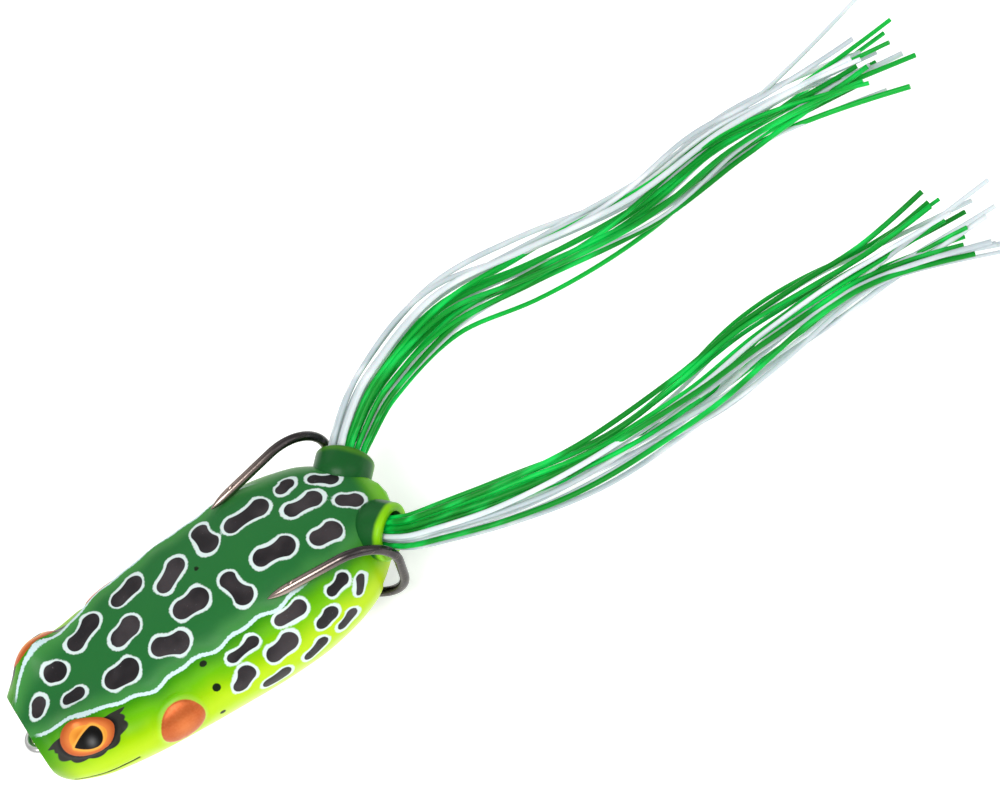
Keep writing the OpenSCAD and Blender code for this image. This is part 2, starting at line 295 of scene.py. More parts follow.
def section(s, a):
    """Plain body surface at share s and angle a, before bulges: x, y, height above the widest
    point, and the height of that point."""
    half = HALF_WIDTH * curve(BODY_PROFILE, s, HALF)
    mid = curve(BODY_PROFILE, s, MIDDLE)
    top = curve(BODY_PROFILE, s, TOP) - mid
    low = mid - curve(BODY_PROFILE, s, BOTTOM)
    c, r = np.cos(a), np.sin(a)
    up = r >= 0
    y = half * np.where(up, signed_power(c, UPPER_POWER), signed_power(c, LOWER_POWER))
    z = np.where(up, top * signed_power(r, UPPER_POWER), low * signed_power(r, LOWER_POWER))
    return LIP_X + s * BODY_LENGTH, y, z, mid


SHEET_S = np.linspace(0, 1, 161)
SHEET_A = np.linspace(-math.pi / 2, math.pi / 2, 721)


def arc_sheet():
    """For each share, over one side: the angle seen from the section's middle, the distance from
    the top line along the surface, the half width, and the reach from the middle."""
    seen, arcs, sides, reaches = [], [], [], []
    for s in SHEET_S:
        _, y, z, _ = section(np.full(SHEET_A.shape, s), SHEET_A)
        steps = np.hypot(np.diff(y), np.diff(z))
        along = np.concatenate([[0], np.cumsum(steps)])
        seen.append(np.arctan2(z, np.maximum(y, 1e-9)))
        arcs.append(along[-1] - along)
        sides.append(y)
        reaches.append(np.hypot(y, z))
    return np.array(seen), np.array(arcs), np.array(sides), np.array(reaches)


SHEET_SEEN, SHEET_ARC, SHEET_Y, SHEET_REACH = arc_sheet()
ANGLE_GRID = np.linspace(-math.pi / 2, math.pi / 2, 361)
ARC_GRID = np.array([np.interp(ANGLE_GRID, seen, arcs) for seen, arcs in zip(SHEET_SEEN, SHEET_ARC)])
REACH_GRID = np.array([np.interp(ANGLE_GRID, seen, reach) for seen, reach in zip(SHEET_SEEN, SHEET_REACH)])
UPPER = SHEET_A >= 0


def side_arc(x, side):
    """Distance from the top line, along the surface, of the point at half width side."""
    s = (x - LIP_X) / BODY_LENGTH
    i = int(np.clip(round(s * (len(SHEET_S) - 1)), 0, len(SHEET_S) - 1))
    return float(np.interp(-side, -SHEET_Y[i][UPPER], SHEET_ARC[i][UPPER]))


RIDGE_X = np.linspace(LIP_X, LIP_X + BODY_LENGTH, 161)
RIDGE_ARC = np.array([side_arc(x, float(curve(RIDGE, x))) for x in RIDGE_X])


def grid_place(x, y, z):
    """Row and column of points in the grids, and the height of the body's widest point there."""
    s = np.clip((x - LIP_X) / BODY_LENGTH, 0, 1)
    mid = curve(BODY_PROFILE, s, MIDDLE)
    angle = np.arctan2(z - mid, np.abs(y))
    return s * (len(SHEET_S) - 1), (angle - ANGLE_GRID[0]) / (ANGLE_GRID[1] - ANGLE_GRID[0]), mid


def surface_place(x, y, z):
    """(distance from the top line, distance below the ridge line) of points on the body."""
    fi, fj, _ = grid_place(x, y, z)
    i = np.clip(fi.astype(int), 0, len(SHEET_S) - 2)
    j = np.clip(fj.astype(int), 0, len(ANGLE_GRID) - 2)
    u, v = np.clip(fi - i, 0, 1), np.clip(fj - j, 0, 1)
    arc = ((1 - u) * ((1 - v) * ARC_GRID[i, j] + v * ARC_GRID[i, j + 1])
           + u * ((1 - v) * ARC_GRID[i + 1, j] + v * ARC_GRID[i + 1, j + 1]))
    return arc, arc - np.interp(x, RIDGE_X, RIDGE_ARC)


def skin_depth(x, y, z):
    """How far inside the plain body surface points are."""
    fi, fj, mid = grid_place(x, y, z)
    i = np.clip(np.round(fi).astype(int), 0, len(SHEET_S) - 1)
    j = np.clip(np.round(fj).astype(int), 0, len(ANGLE_GRID) - 1)
    return REACH_GRID[i, j] - np.hypot(y, z - mid)


def ridge_wave(x):
    """Unsteadiness of the ridge line, as if drawn by hand: calmer at the head."""
    calm = 0.3 + 0.7 * smooth((x - 8) / 5)
    return calm * (0.35 * np.sin(x * 0.55 + 0.8) + 0.22 * np.sin(x * 1.15 + 2.1))


EYE_ARC = side_arc(EYE_X, float(curve(RIDGE, EYE_X))) + EYE_DROP
DRUM_ARC = side_arc(DRUM_X, float(curve(RIDGE, DRUM_X))) + DRUM_DROP


def eye_place(x, arc):
    """Place on the eye: along its long axis, towards the tail, and downwards."""
    c, s = math.cos(math.radians(EYE_TILT)), math.sin(math.radians(EYE_TILT))
    u, v = x - EYE_X, arc - EYE_ARC
    return u * c + v * s, -u * s + v * c


def bulges(x, y, z):
    """Outward lift of the skin: eyeball, ear drum in its moat, ridge welt, crease and mouth line."""
    arc, below = surface_place(x, y, z)
    u, v = eye_place(x, arc)
    r = np.hypot(u / EYE_HALF[0], v / EYE_HALF[1])
    eye = EYE_LIFT * np.sqrt(np.clip(1 - r * r, 0, 1))
    eye += EYE_FOOT * smooth((1 + EYE_FOOT_REACH - r) / EYE_FOOT_REACH)
    drum_r = np.hypot(x - DRUM_X, arc - DRUM_ARC) / DRUM_R
    drum = DRUM_LIFT * np.sqrt(np.clip(1 - drum_r ** 2 * 0.97, 0, 1)) * (drum_r < 1.01)
    moat = -MOAT * np.exp(-((drum_r - MOAT_AT) / MOAT_REACH) ** 2)
    welt = WELT * np.exp(-((below + ridge_wave(x)) / WELT_REACH) ** 2)
    welt *= 1 - smooth((x - RIDGE_FADE[0]) / (RIDGE_FADE[1] - RIDGE_FADE[0]))
    crease = -CREASE * np.exp(-((below - CREASE_AT) / CREASE_REACH) ** 2)
    crease *= smooth((x - CREASE_X[0]) / (CREASE_X[1] - CREASE_X[0]))
    crease *= 1 - smooth((x - CREASE_X[2]) / (CREASE_X[3] - CREASE_X[2]))
    mouth = -MOUTH_DEPTH * np.exp(-(mouth_distance(x, z) / MOUTH_REACH) ** 2)
    return eye + drum + moat + welt + crease + mouth


def brow_push(x, y, z):
    """Sideways and upward shift of the skin over each eye."""
    away = ((x - BROW[0]) / BROW_STRETCH) ** 2 + (np.abs(y) - BROW[1]) ** 2 + (z - BROW[2]) ** 2
    share = np.exp(-away / BROW_REACH ** 2) * smooth((x - LIP_X) / BROW_FADE)
    return np.sign(y) * BROW_OUT * share, BROW_UP * share


def mouth_distance(x, z):
    """Height off the mouth line, which grows fast past its two ends."""
    length = MOUTH_X[1] - MOUTH_X[0]
    t = (x - MOUTH_X[0]) / length
    height = MOUTH_Z[0] + (MOUTH_Z[1] - MOUTH_Z[0]) * t
    return np.abs(z - height) + 4 * np.clip(np.abs(t - 0.5) - 0.5, 0, None) * length


def lip_round(x, a):
    """Inward turn of the lip's edge, strongest at the chin."""
    e = np.clip(1 - (x - LIP_X) / LIP_ROUND, 0, 1)
    weight = 0.2 + 0.8 * smooth((0.35 - np.sin(a)) / 0.7)
    return LIP_ROUND * 0.75 * (1 - np.sqrt(1 - e * e)) * weight


def skin_points(s, a):
    """The outside of the body, with its bulges, lip and brows."""
    x, y, z, mid = section(s, a)
    reach = np.maximum(np.hypot(y, z), 0.5)
    lift = bulges(x, y, z + mid) - lip_round(x, a)
    push_y, push_z = brow_push(x, y, z + mid)
    return np.stack([x, y + lift * y / reach + push_y, mid + z + lift * z / reach + push_z], -1)


def cavity_points(s, a):
    """The inside of the wall, without bulges."""
    x, y, z, mid = section(s, a)
    reach = np.maximum(np.hypot(y, z), WALL)
    share = 1 - WALL / reach
    return np.stack([x, y * share, mid + z * share], -1)


# ---- Meshes ----

def make_object(name, points, faces, material):
    """A smooth mesh from points in millimetres."""
    mesh = bpy.data.meshes.new(name)
    mesh.from_pydata([tuple(p * MM) for p in np.array([tuple(p) for p in points])], [], faces)
    mesh.validate()
    mesh.materials.append(material)
    mesh.polygons.foreach_set("use_smooth", [True] * len(mesh.polygons))
    obj = bpy.data.objects.new(name, mesh)
    bpy.context.scene.collection.objects.link(obj)
    return obj


def ring_faces(rows, n):
    """Faces between rings of n points each."""
    return [(i * n + k, i * n + (k + 1) % n, (i + 1) * n + (k + 1) % n, (i + 1) * n + k)
            for i in range(rows - 1) for k in range(n)]


def hoop_faces(rows, n):
    """Faces between rings of n points each, and from the last ring back to the first."""
    last = (rows - 1) * n
    return ring_faces(rows, n) + [(last + k, last + (k + 1) % n, (k + 1) % n, k) for k in range(n)]


def apply_modifiers(obj):
    """Swaps the mesh for the one that its modifiers make."""
    graph = bpy.context.evaluated_depsgraph_get()
    graph.update()
    mesh = bpy.data.meshes.new_from_object(obj.evaluated_get(graph))
    obj.modifiers.clear()
    old, obj.data = obj.data, mesh
    bpy.data.meshes.remove(old)


def put_attribute(obj, name, values):
    layer = obj.data.attributes.new(name, "FLOAT", "POINT")
    layer.data.foreach_set("value", np.asarray(values, np.float32))


def points_of(obj):
    co = np.zeros(len(obj.data.vertices) * 3, np.float32)
    obj.data.vertices.foreach_get("co", co)
    return co.reshape(-1, 3).astype(float) / MM


# ---- Paint layout ----

def spot_distance(u, v, spot):
    """Signed distance to a bean made of two discs joined by a soft neck."""
    _, _, tilt, length, width, waist = spot
    c, s = math.cos(math.radians(tilt)), math.sin(math.radians(tilt))
    along, across = u * c + v * s, -u * s + v * c
    r = width / 2
    half = max(length / 2 - r, 0.01)
    t = np.clip(along / half, -1, 1)
    bow = SPOT_BOW * min(width, half) * (1 - t * t)
    radius = r * (1 - waist * (1 - t * t)) * (1 + SPOT_TAPER * t)
    return np.hypot(along - t * half, across - bow) - radius


def nearest_spot(x, left, below):
    """Signed distance to the nearest spot."""
    best = np.full(x.shape, FAR_OFF)
    for spot in BACK_SPOTS:
        best = np.minimum(best, spot_distance(x - spot[0], left - spot[1], spot))
    for spot in FLANK_SPOTS:
        best = np.minimum(best, spot_distance(x - spot[0], below - spot[1], spot))
    return best


def nearest_dot(x, left, below):
    """Signed distance to the nearest black dot."""
    best = np.full(x.shape, FAR_OFF)
    for at, side, r in BACK_DOTS:
        best = np.minimum(best, np.hypot(x - at, left - side) - r)
    for at, drop, r in FLANK_DOTS:
        best = np.minimum(best, np.hypot(x - at, below - drop) - r)
    return best


def eye_rim(u, v):
    """Outline of the scalloped dark rim behind and under the eye, as a share of its radius.
    Angles run in degrees from the tail end of the eye, downwards and on to its front."""
    angle = np.degrees(np.arctan2(v / EYE_HALF[1], u / EYE_HALF[0]))
    inside = smooth((angle - RIM_FROM) / RIM_FADE) * smooth((RIM_TO - angle) / RIM_FADE)
    scallop = 0.27 + 0.15 * np.abs(np.sin(np.radians(angle * 5.4 + 20)))
    scallop += 0.14 * np.exp(-((angle - 2) / 28) ** 2)
    rim = 1 + scallop * inside
    for at, length, half in RIM_SPIKES:
        rim = rim + length * np.clip(1 - np.abs((angle - at + 180) % 360 - 180) / half, 0, 1)
    return rim


def pupil_distance(u, v):
    """Signed distance to the pointed pupil, whose tip looks forward."""
    t = np.clip((PUPIL_X - u) / PUPIL_LENGTH, 0, 1)
    return np.hypot(u - PUPIL_X + t * PUPIL_LENGTH, v - PUPIL_DROOP * t) - PUPIL_R * (1 - t ** 1.5 * 0.97)


def paint_skin(obj):
    """Stores on every point of the skin what its material needs to know."""
    p = points_of(obj)
    x, y, z = p[:, 0], p[:, 1], p[:, 2]
    plain_y, plain_z = y, z
    for _ in range(BROW_STEPS):
        push_y, push_z = brow_push(x, plain_y, plain_z)
        plain_y, plain_z = y - push_y, z - push_z
    arc, below = surface_place(x, plain_y, plain_z)
    left = -np.sign(y) * arc
    u, v = eye_place(x, arc)
    r = np.hypot(u / EYE_HALF[0], v / EYE_HALF[1])
    glint_off = (u - GLINT_AT[0]) ** 2 + (v - GLINT_AT[1]) ** 2
    values = {
        "spot": nearest_spot(x, left, below),
        "dot": nearest_dot(x, left, below),
        "line": below + ridge_wave(x),
        "along": x,
        "height": z,
        "eye": r,
        "rim": r - eye_rim(u, v),
        "pupil": pupil_distance(u, v),
        "glint": np.exp(-glint_off / GLINT_SPREAD),
        "drum": np.hypot(x - DRUM_X, arc - DRUM_ARC),
        "mouth": mouth_distance(x, z),
        "depth": skin_depth(x, plain_y, plain_z),
    }
    for name, numbers in values.items():
        put_attribute(obj, name, numbers)


# ---- Materials ----

def linear(r, g, b):
    """A colour given as it looks on a screen, as Blender wants it."""
    return tuple(c / 12.92 if c <= 0.04045 else ((c + 0.055) / 1.055) ** 2.4 for c in (r, g, b)) + (1.0,)


class Graph:
    """A material's node tree, with short calls for the nodes that this script uses."""

    def __init__(self, name):
        self.material = bpy.data.materials.new(name)
        self.material.use_nodes = True
        self.tree = self.material.node_tree
        self.shader = self.tree.nodes["Principled BSDF"]

    def node(self, kind, **inputs):
        made = self.tree.nodes.new(kind)
        for key, value in inputs.items():
            self.put(made.inputs[key.replace("_", " ")], value)
        return made

    def put(self, socket, value):
        if isinstance(value, bpy.types.NodeSocket):
            self.tree.links.new(value, socket)
        else:
            socket.default_value = value

    def set(self, **inputs):
        for key, value in inputs.items():
            self.put(self.shader.inputs[key.replace("_", " ")], value)

    def attribute(self, name):
        made = self.tree.nodes.new("ShaderNodeAttribute")
        made.attribute_name = name
        return made.outputs["Fac"]

    def place(self, scale=(1, 1, 1)):
        """Object place in millimetres, stretched by scale."""
        made = self.tree.nodes.new("ShaderNodeTexCoord")
        mapping = self.node("ShaderNodeMapping", Scale=tuple(k / MM for k in scale))
        self.tree.links.new(made.outputs["Object"], mapping.inputs["Vector"])
        return mapping.outputs["Vector"]

    def noise(self, where, scale, detail=2.0):
        made = self.node("ShaderNodeTexNoise", Vector=where, Scale=scale, Detail=detail)
        return made.outputs["Fac"]

    def plus(self, a, b):
        return self.math("ADD", a, b)

    def minus(self, a, b):
        return self.math("SUBTRACT", a, b)

    def times(self, a, b):
        return self.math("MULTIPLY", a, b)

    def math(self, operation, a, b):
        made = self.tree.nodes.new("ShaderNodeMath")
        made.operation = operation
        self.put(made.inputs[0], a)
        self.put(made.inputs[1], b)
        return made.outputs[0]

    def step(self, value, low, high):
        """0 below low and 1 above high, or the other way round where high is the smaller."""
        made = self.tree.nodes.new("ShaderNodeMapRange")
        made.interpolation_type = "SMOOTHSTEP"
        self.put(made.inputs["Value"], value)
        if low <= high:
            ends = (low, high, 0.0, 1.0)
        else:
            ends = (high, low, 1.0, 0.0)
        for key, number in zip(("From Min", "From Max", "To Min", "To Max"), ends):
            made.inputs[key].default_value = number
        return made.outputs["Result"]

    def mix(self, share, a, b):
        made = self.tree.nodes.new("ShaderNodeMix")
        made.data_type = "RGBA"
        self.put(made.inputs[0], share)
        self.put(made.inputs[6], a)
        self.put(made.inputs[7], b)
        return made.outputs[2]

    def bump(self, height, strength, distance):
        made = self.node("ShaderNodeBump", Height=height, Strength=strength, Distance=distance * MM)
        return made.outputs["Normal"]


def body_material():
    """Airbrushed frog paint under clear gloss on soft plastic, with some painted sheen, shade and
    highlights.
    """
    g = Graph("frog_paint")
    where = g.place()
    line, along, height = g.attribute("line"), g.attribute("along"), g.attribute("height")
    fine = g.noise(where, 2.6, 3.0)
    broad = g.noise(where, 0.16, 2.0)
    rough_edge = g.times(g.minus(fine, 0.5), 0.42)

    # Painted sheen: the back's green lightens towards each ridge line.
    back = g.mix(g.step(line, -3.6, 0.3), linear(0.14, 0.42, 0.19), linear(0.28, 0.57, 0.27))
    back = g.mix(g.times(broad, 0.35), back, linear(0.1, 0.38, 0.2))
    drop = g.plus(line, g.times(g.minus(broad, 0.5), 1.6))
    flank = g.mix(g.step(drop, -0.6, 4.2), linear(0.15, 0.49, 0.0), linear(0.4, 0.7, 0.0))
    flank = g.mix(g.step(drop, 3.2, 9.0), flank, linear(0.7, 0.84, 0.0))
    flank = g.mix(g.step(height, 1.6, -3.4), flank, linear(0.78, 0.87, 0.42))
    # Painted shade: the flank darkens to green over the last millimetres before the lip's inward-turning
    # edge.
    flank = g.mix(g.times(g.step(along, 3.2, LIP_X), 0.6), flank, linear(0.14, 0.48, 0.08))
    flank = g.mix(g.step(height, -1.6, -5.2), flank, linear(0.87, 0.89, 0.79))

    sharp = g.step(line, -0.12, 0.12)
    airbrushed = g.step(line, -1.6, 2.6)
    rear = g.step(along, RIDGE_FADE[0] - 3, RIDGE_FADE[1])
    shade = g.plus(g.times(sharp, g.minus(1.0, rear)), g.times(airbrushed, rear))
    colour = g.mix(shade, back, flank)
    tail = g.times(g.step(along, 59.6, 62.0), g.step(height, 11.5, 6.5))
    colour = g.mix(tail, colour, linear(0.42, 0.72, 0.0))

    wobble = g.plus(line, rough_edge)
    stripe = g.times(g.step(wobble, -0.4, -0.26), g.step(wobble, 0.36, 0.2))
    stripe = g.times(stripe, g.step(along, RIDGE_FADE[1], RIDGE_FADE[0]))
    stripe = g.times(stripe, g.step(along, LIP_X + 0.5, LIP_X + 1.8))
    colour = g.mix(stripe, colour, linear(0.78, 0.87, 0.88))

    uneven = g.times(g.minus(g.noise(where, 0.42, 0.0), 0.5), 0.8)
    spot = g.plus(g.plus(g.attribute("spot"), uneven), g.times(rough_edge, 0.75))
    colour = g.mix(g.step(spot, 0.6, 0.34), colour, linear(0.82, 0.88, 0.87))
    spot_ink_and_highlight_specks = g.mix(g.step(broad, 0.35, 0.7), linear(0.13, 0.12, 0.13), linear(0.24, 0.22, 0.23))
    # Sparse pale specks on the spots' ink are painted highlights.
    spot_ink_and_highlight_specks = g.mix(g.step(fine, 0.68, 0.76), spot_ink_and_highlight_specks, linear(0.32, 0.3, 0.31))
    colour = g.mix(g.step(g.attribute("spot"), 0.06, -0.08), colour, spot_ink_and_highlight_specks)
    colour = g.mix(g.step(g.attribute("dot"), 0.08, -0.08), colour, linear(0.07, 0.12, 0.04))

    drum = g.attribute("drum")
    halo = g.times(g.step(drum, 4.6, 3.2), 0.75)
    colour = g.mix(halo, colour, linear(0.72, 0.87, 0.35))
    copper = g.mix(g.step(drum, 0.0, 2.9), linear(0.79, 0.42, 0.21), linear(0.69, 0.31, 0.12))
    copper = g.mix(g.times(fine, 0.25), copper, linear(0.95, 0.62, 0.4))
    on_drum = g.step(drum, DRUM_R + 0.04, DRUM_R - 0.1)
    colour = g.mix(on_drum, colour, copper)

    eye = g.attribute("eye")
    rim = g.times(g.step(g.attribute("rim"), 0.03, -0.04), g.step(eye, 0.95, 1.0))
    # The rim's black ink turns grey further out, mostly behind the eye: a painted highlight on the glossy
    # rim.
    rim_ink_and_highlight = g.mix(g.step(eye, 1.02, 1.22), linear(0.06, 0.055, 0.05), linear(0.17, 0.17, 0.15))
    colour = g.mix(rim, colour, rim_ink_and_highlight)
    iris = g.mix(g.step(eye, 0.66, 0.98), linear(0.85, 0.48, 0.23), linear(0.72, 0.34, 0.14))
    gold = g.mix(g.step(eye, 0.3, 0.66), linear(0.8, 0.45, 0.14), linear(0.9, 0.6, 0.22))
    iris = g.mix(g.step(eye, 0.7, 0.64), iris, gold)
    iris = g.mix(g.step(g.attribute("pupil"), 0.5, 0.1), iris, linear(0.93, 0.66, 0.27))
    glint = g.times(g.attribute("glint"), 0.5)
    pupil = g.mix(glint, linear(0.05, 0.045, 0.04), linear(0.5, 0.5, 0.5))
    iris = g.mix(g.step(g.attribute("pupil"), 0.08, -0.06), iris, pupil)
    on_eye = g.step(eye, 1.01, 0.98)
    colour = g.mix(on_eye, colour, iris)
    colour = g.mix(g.step(g.attribute("mouth"), 0.4, 0.16), colour, linear(0.2, 0.27, 0.06))
    cup = g.mix(g.step(height, -1.0, 3.5), linear(0.5, 0.75, 0.08), linear(0.14, 0.42, 0.2))
    colour = g.mix(g.step(g.attribute("depth"), 1.9, 2.6), colour, cup)

    pearl = g.math("MAXIMUM", on_drum, g.times(on_eye, 0.6))
    gloss = g.plus(0.36, g.times(g.minus(broad, 0.5), 0.14))
    g.set(Base_Color=colour, Roughness=gloss, Metallic=g.times(pearl, 0.35),
          Coat_Weight=0.04, Coat_Roughness=0.2, Specular_IOR_Level=0.1,
          Subsurface_Weight=0.06, Subsurface_Scale=0.002,
          Normal=g.bump(g.noise(where, 0.9, 3.0), 0.12, 0.25))
    return g.material


def sleeve_material():
    """Green paint that turns lime at the lip of the sleeve and underneath."""
    g = Graph("sleeve_paint")
    where = g.place()
    cloud = g.noise(where, 0.3, 2.0)
    out = g.plus(g.attribute("out"), g.times(g.minus(cloud, 0.5), 0.5))
    low = g.plus(g.attribute("height"), g.times(cloud, 1.5))
    side = g.mix(g.step(low, 8.0, 4.0), linear(0.07, 0.33, 0.13), linear(0.42, 0.72, 0.0))
    lip = g.mix(cloud, linear(0.38, 0.7, 0.0), linear(0.6, 0.85, 0.05))
    colour = g.mix(g.times(g.step(out, -0.8, 0.0), g.attribute("lime")), side, lip)
    colour = g.mix(g.step(g.attribute("bore"), 0.5, 1.0), colour, linear(0.1, 0.3, 0.08))
    g.set(Base_Color=colour, Roughness=0.36,
          Coat_Weight=0.05, Coat_Roughness=0.2, Specular_IOR_Level=0.15,
          Subsurface_Weight=0.06, Subsurface_Scale=0.002,
          Normal=g.bump(g.noise(where, 0.9, 3.0), 0.12, 0.25))
    return g.material


def inside_material():
    """Bare milky plastic on the inside of the shell."""
    g = Graph("bare_soft_plastic")
    where = g.place()
    colour = g.mix(g.noise(where, 0.25, 3.0), linear(0.78, 0.84, 0.68), linear(0.88, 0.9, 0.8))
    g.set(Base_Color=colour, Roughness=0.5, Subsurface_Weight=0.1, Subsurface_Scale=0.002,
          Normal=g.bump(g.noise(where, 1.4, 2.0), 0.2, 0.2))
    return g.material


def wire_material():
    """Black nickel plate, with fine drawing marks along the wire and a brighter, warmer point."""
    g = Graph("black_nickel")
    marks = g.noise(g.place((0.5, 4.0, 4.0)), 1.0, 4.0)
    cloud = g.noise(g.place(), 0.35, 3.0)
    colour = g.mix(cloud, linear(0.2, 0.19, 0.2), linear(0.34, 0.32, 0.32))
    bright = g.times(g.step(g.attribute("to_tip"), 16.0, 1.0), 0.75)
    colour = g.mix(bright, colour, linear(0.72, 0.64, 0.6))
    colour = g.mix(g.step(marks, 0.62, 0.78), colour, linear(0.58, 0.52, 0.48))
    rough = g.plus(0.16, g.times(marks, 0.16))
    g.set(Base_Color=colour, Metallic=1.0, Roughness=rough, Normal=g.bump(marks, 0.15, 0.05))
    return g.material


def tie_material():
    """The line tie's nickel, painted pale as a highlight on the hook's black nickel."""
    g = Graph("tie_nickel_painted_highlight")
    cloud = g.noise(g.place(), 1.2, 3.0)
    # Painted highlight: the tie's nickel is coloured far paler than the wire's black nickel.
    colour = g.mix(cloud, linear(0.78, 0.78, 0.78), linear(0.92, 0.92, 0.91))
    g.set(Base_Color=colour, Metallic=1.0, Roughness=0.28, Normal=g.bump(cloud, 0.1, 0.05))
    return g.material


def weight_material():
    """The keel weight's dull cast metal."""
    g = Graph("cast_grey_metal")
    grain = g.noise(g.place(), 2.2, 4.0)
    colour = g.mix(grain, linear(0.38, 0.39, 0.4), linear(0.6, 0.6, 0.6))
    g.set(Base_Color=colour, Metallic=0.85, Roughness=0.5, Normal=g.bump(grain, 0.35, 0.15))
    return g.material


def rubber_material():
    """Black rubber of the nose seal and the skirt bands."""
    g = Graph("black_rubber")
    grain = g.noise(g.place(), 3.0, 3.0)
    colour = g.mix(grain, linear(0.1, 0.11, 0.1), linear(0.18, 0.18, 0.17))
    g.set(Base_Color=colour, Roughness=0.65, Normal=g.bump(grain, 0.2, 0.1))
    return g.material


def strand_material(name, dark, main, bright, glow):
    """Silicone strands: each has a tint of its own, with brighter stretches along it painted as
    highlights, and a faint glow of painted light.
    """
    g = Graph(name)
    drift = g.noise(g.place((0.25, 1.0, 1.0)), 0.35, 2.0)
    fine = g.noise(g.place((0.15, 2.0, 2.0)), 2.0, 3.0)
    colour = g.mix(g.attribute("tint"), dark, main)
    # Painted highlights: brighter stretches along the strands.
    colour = g.mix(g.step(drift, 0.45, 0.75), colour, bright)
    # The strands glow faintly in their own colour: painted light that lifts the shade between them.
    g.set(Base_Color=colour, Roughness=0.38, Specular_IOR_Level=0.2,
          Subsurface_Weight=0.12, Subsurface_Scale=0.0008,
          Emission_Color=colour, Emission_Strength=glow,
          Normal=g.bump(fine, 0.15, 0.05))
    return g.material


def floor_material():
    """Plain white floor that glows a little, so that it comes out nearly white."""
    g = Graph("studio_floor")
    cloud = g.noise(g.place((0.01, 0.01, 0.01)), 1.0, 2.0)
    colour = g.mix(cloud, linear(0.985, 0.985, 0.985), linear(1.0, 1.0, 1.0))
    g.set(Base_Color=colour, Roughness=0.9, Emission_Color=colour, Emission_Strength=0.4)
    return g.material


# ---- Body pieces ----

def cup_ring(share, hole, lip):
    """Ring of the cupped face, at a share of the way from the nose hole to the lip."""
    dish = CUP_DEPTH * (1 - share ** 2) ** 0.75
    return hole * (1 - smooth(share)) + lip * (0, share, share) * smooth(share) + (LIP_X + dish, 0, 0)


def skin_rings(a):
    """Rings of the shell, from the back of its inner wall forwards to the nose hole, out over the
    cup to the lip and back along the outside, with the count of the rings on the inside."""
    hole = np.stack([np.zeros(AROUND), NOSE_HOLE * np.cos(a), NOSE_HOLE * np.sin(a)], -1)
    lip = skin_points(np.zeros(AROUND), a)
    rings = [cavity_points(np.full(AROUND, s), a)
             for s in np.linspace(CAVITY_LAST, CAVITY_FIRST, WALL_ROWS)]
    rings += [hole + (x, 0, 0) for x in (LIP_X + CAVITY_FIRST * BODY_LENGTH, LIP_X + CUP_DEPTH + CUP_BACK)]
    bare_rings = len(rings)
    rings += [cup_ring(share, hole, lip) for share in np.linspace(0.0, 0.97, CUP_ROWS)]
    shares = (1 - np.cos(np.linspace(0.02, 1, SKIN_ROWS) * math.pi)) / 2
    rings += [skin_points(np.full(AROUND, s), a) for s in shares]
    return rings, bare_rings


def body_skin(paint, bare):
    """The soft shell: cupped face, eyes, ear drums and ridges, with a slot under the rump."""
    rings, bare_rings = skin_rings(np.linspace(0, 2 * math.pi, AROUND, endpoint=False))
    faces = ring_faces(len(rings), AROUND)
    last = (len(rings) - 1) * AROUND
    tips = [np.mean(rings[-1], axis=0) + (TIP_OUT, 0, 0), np.mean(rings[0], axis=0) + (TIP_IN, 0, 0)]
    points = np.concatenate(rings + [tips])
    faces += [(last + k, last + (k + 1) % AROUND, len(points) - 2) for k in range(AROUND)]
    inner_cap = len(faces)
    faces += [((k + 1) % AROUND, k, len(points) - 1) for k in range(AROUND)]
    obj = make_object("body_skin", points, faces, paint)
    obj.data.materials.append(bare)
    for k, face in enumerate(obj.data.polygons):
        if k < bare_rings * AROUND or k >= inner_cap:
            face.material_index = 1
    cutter = slot_cutter(bare)
    cut = obj.modifiers.new("slot", "BOOLEAN")
    cut.operation = "DIFFERENCE"
    cut.solver = "EXACT"
    cut.object = cutter
    apply_modifiers(obj)
    bpy.data.objects.remove(cutter)
    paint_skin(obj)
    return obj


def slot_cutter(bare):
    """The opening under the rump that the hook arms pass through."""
    outline = SLOT + [(x, -y) for x, y in reversed(SLOT)]
    n = len(outline)
    points = [(x, y, z) for z in SLOT_Z for x, y in outline]
    faces = [tuple(range(n)), tuple(reversed(range(n, 2 * n)))]
    faces += [(n + k, n + (k + 1) % n, (k + 1) % n, k) for k in range(n)]
    return make_object("slot_cutter", points, faces, bare)


def sleeve_matrix(side):
    """Frame of a sleeve: its mouth's middle, with the third axis pointing out of the mouth."""
    axis = Vector((math.cos(math.radians(SPLAY)), side * math.sin(math.radians(SPLAY)), 0))
    up = Vector((0, 0, 1))
    m = Matrix((up.cross(axis), up, axis)).transposed().to_4x4()
    m.translation = (SLEEVE_AT[0], side * SLEEVE_AT[1], SLEEVE_AT[2])
    return m


